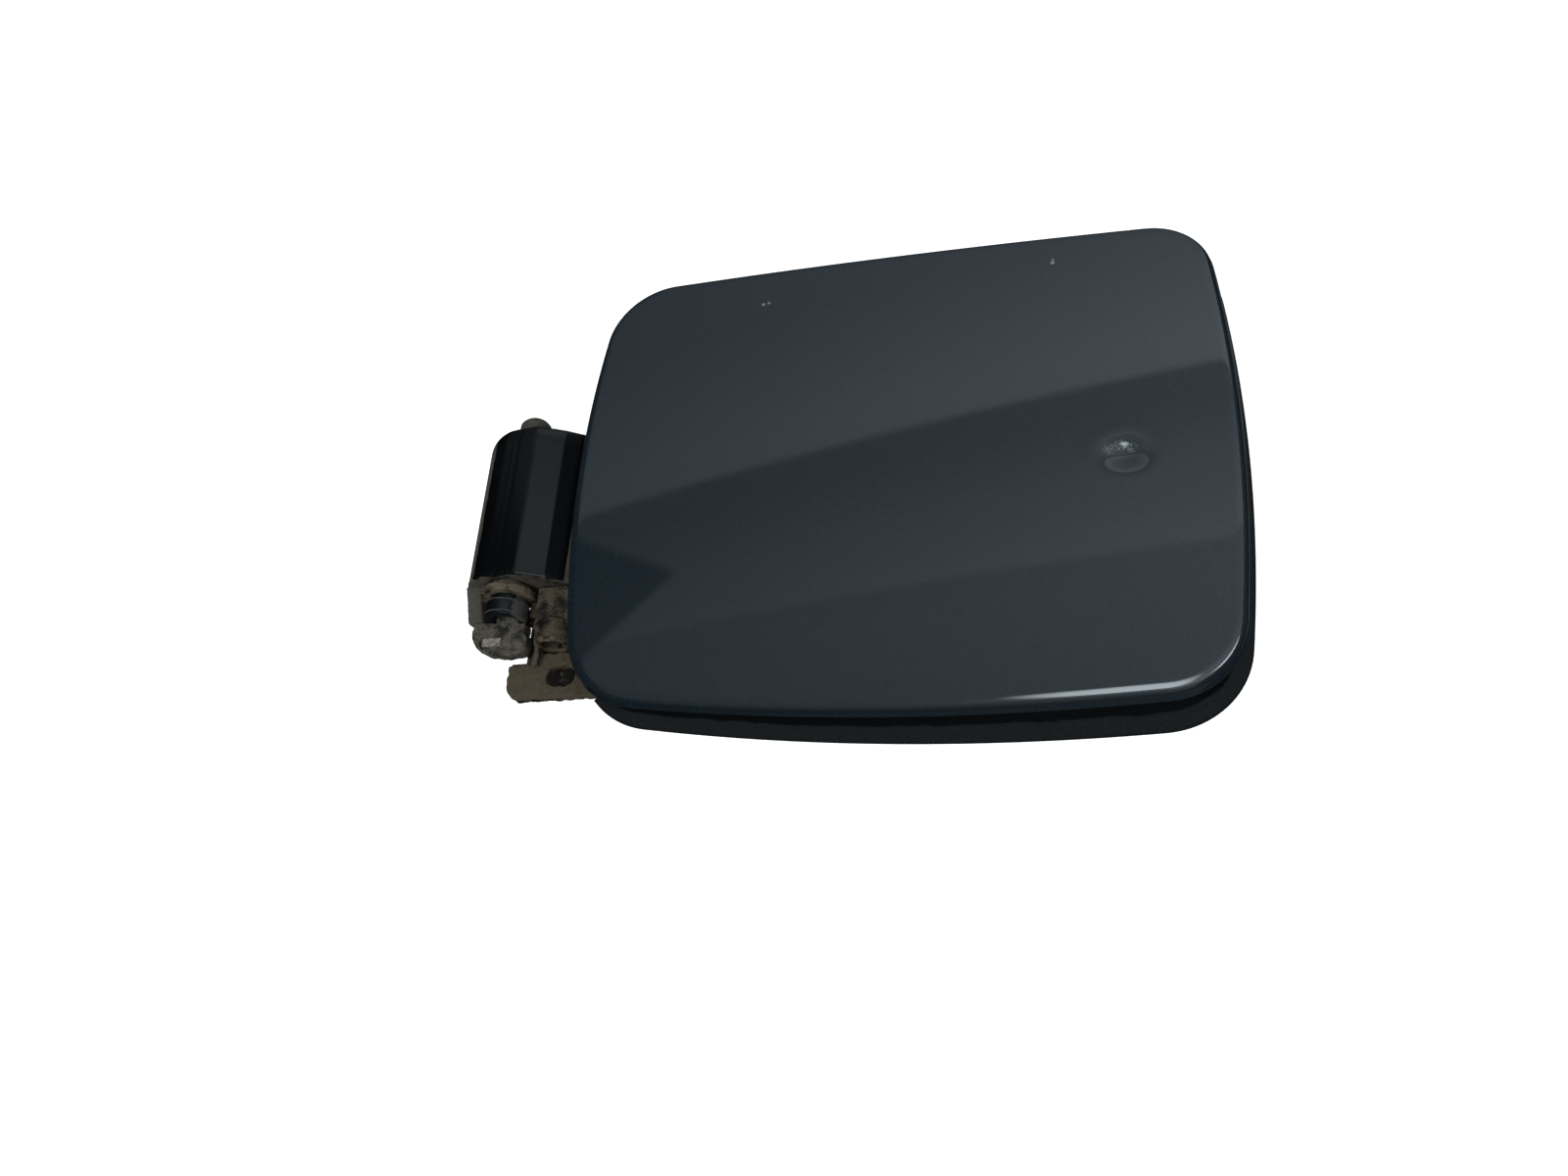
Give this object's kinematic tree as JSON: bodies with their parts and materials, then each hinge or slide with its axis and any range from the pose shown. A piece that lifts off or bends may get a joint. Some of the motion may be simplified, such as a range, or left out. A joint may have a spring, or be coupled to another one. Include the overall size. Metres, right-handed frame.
{
  "type": "car fuel door",
  "caption": "Painted car fuel door on a flared black inner carrier, with a moulded hinge arm, a sprung pivot with a flat key, and a side bracket.",
  "frame": {"origin": "on the hinge axis, in the middle of the free length of the far pivot pin", "axes": "+X from the hinge to the free edge of the door, +Y along the hinge axis out of the far pin's free end, +Z out of the painted face"},
  "size_m": [0.2077, 0.1401, 0.0185],
  "materials": {
    "painted_skin": "satin metallic",
    "bead": "matte",
    "carrier_black": "semi-gloss",
    "arm_black": "gloss",
    "bracket_black": "dusty matte",
    "screw_steel": "satin",
    "spring_steel": "satin",
    "shaft_steel": "dull",
    "bearing_plastic": "dusty matte",
    "bush_black": "semi-gloss",
    "key_grey": "dusty matte",
    "tab_pale": "matte",
    "fitting_black": "matte",
    "buffer_rubber": "matte"
  },
  "bodies": {
    "door": {"outer_skin": "painted_skin", "adhesive_bead": "bead", "inner_carrier": "carrier_black", "hinge_arm": "arm_black", "arm_screws": "screw_steel", "arm_washers": "screw_steel", "arm_bracket": "bracket_black", "bracket_screws": "screw_steel", "far_bearing": "bearing_plastic", "near_bearing": "bearing_plastic", "thrust_washer": "screw_steel", "return_spring": "spring_steel", "latch_striker": "fitting_black", "striker_screws": "screw_steel", "cap_holder": "fitting_black", "buffer_upper": "buffer_rubber", "buffer_lower": "buffer_rubber"},
    "pivot": {"pivot_shaft": "shaft_steel", "circlips": "screw_steel", "pivot_bush": "bush_black", "locking_key": "key_grey", "key_tab": "tab_pale"}
  },
  "joints": [
    {"name": "pivot_turn", "type": "hinge", "parent": "door", "child": "pivot", "pos_m": [0, 0, 0], "axis": [0, -1, 0], "range_deg": [0, 95], "stiffness_Nm_per_rad": 0.02}
  ]
}
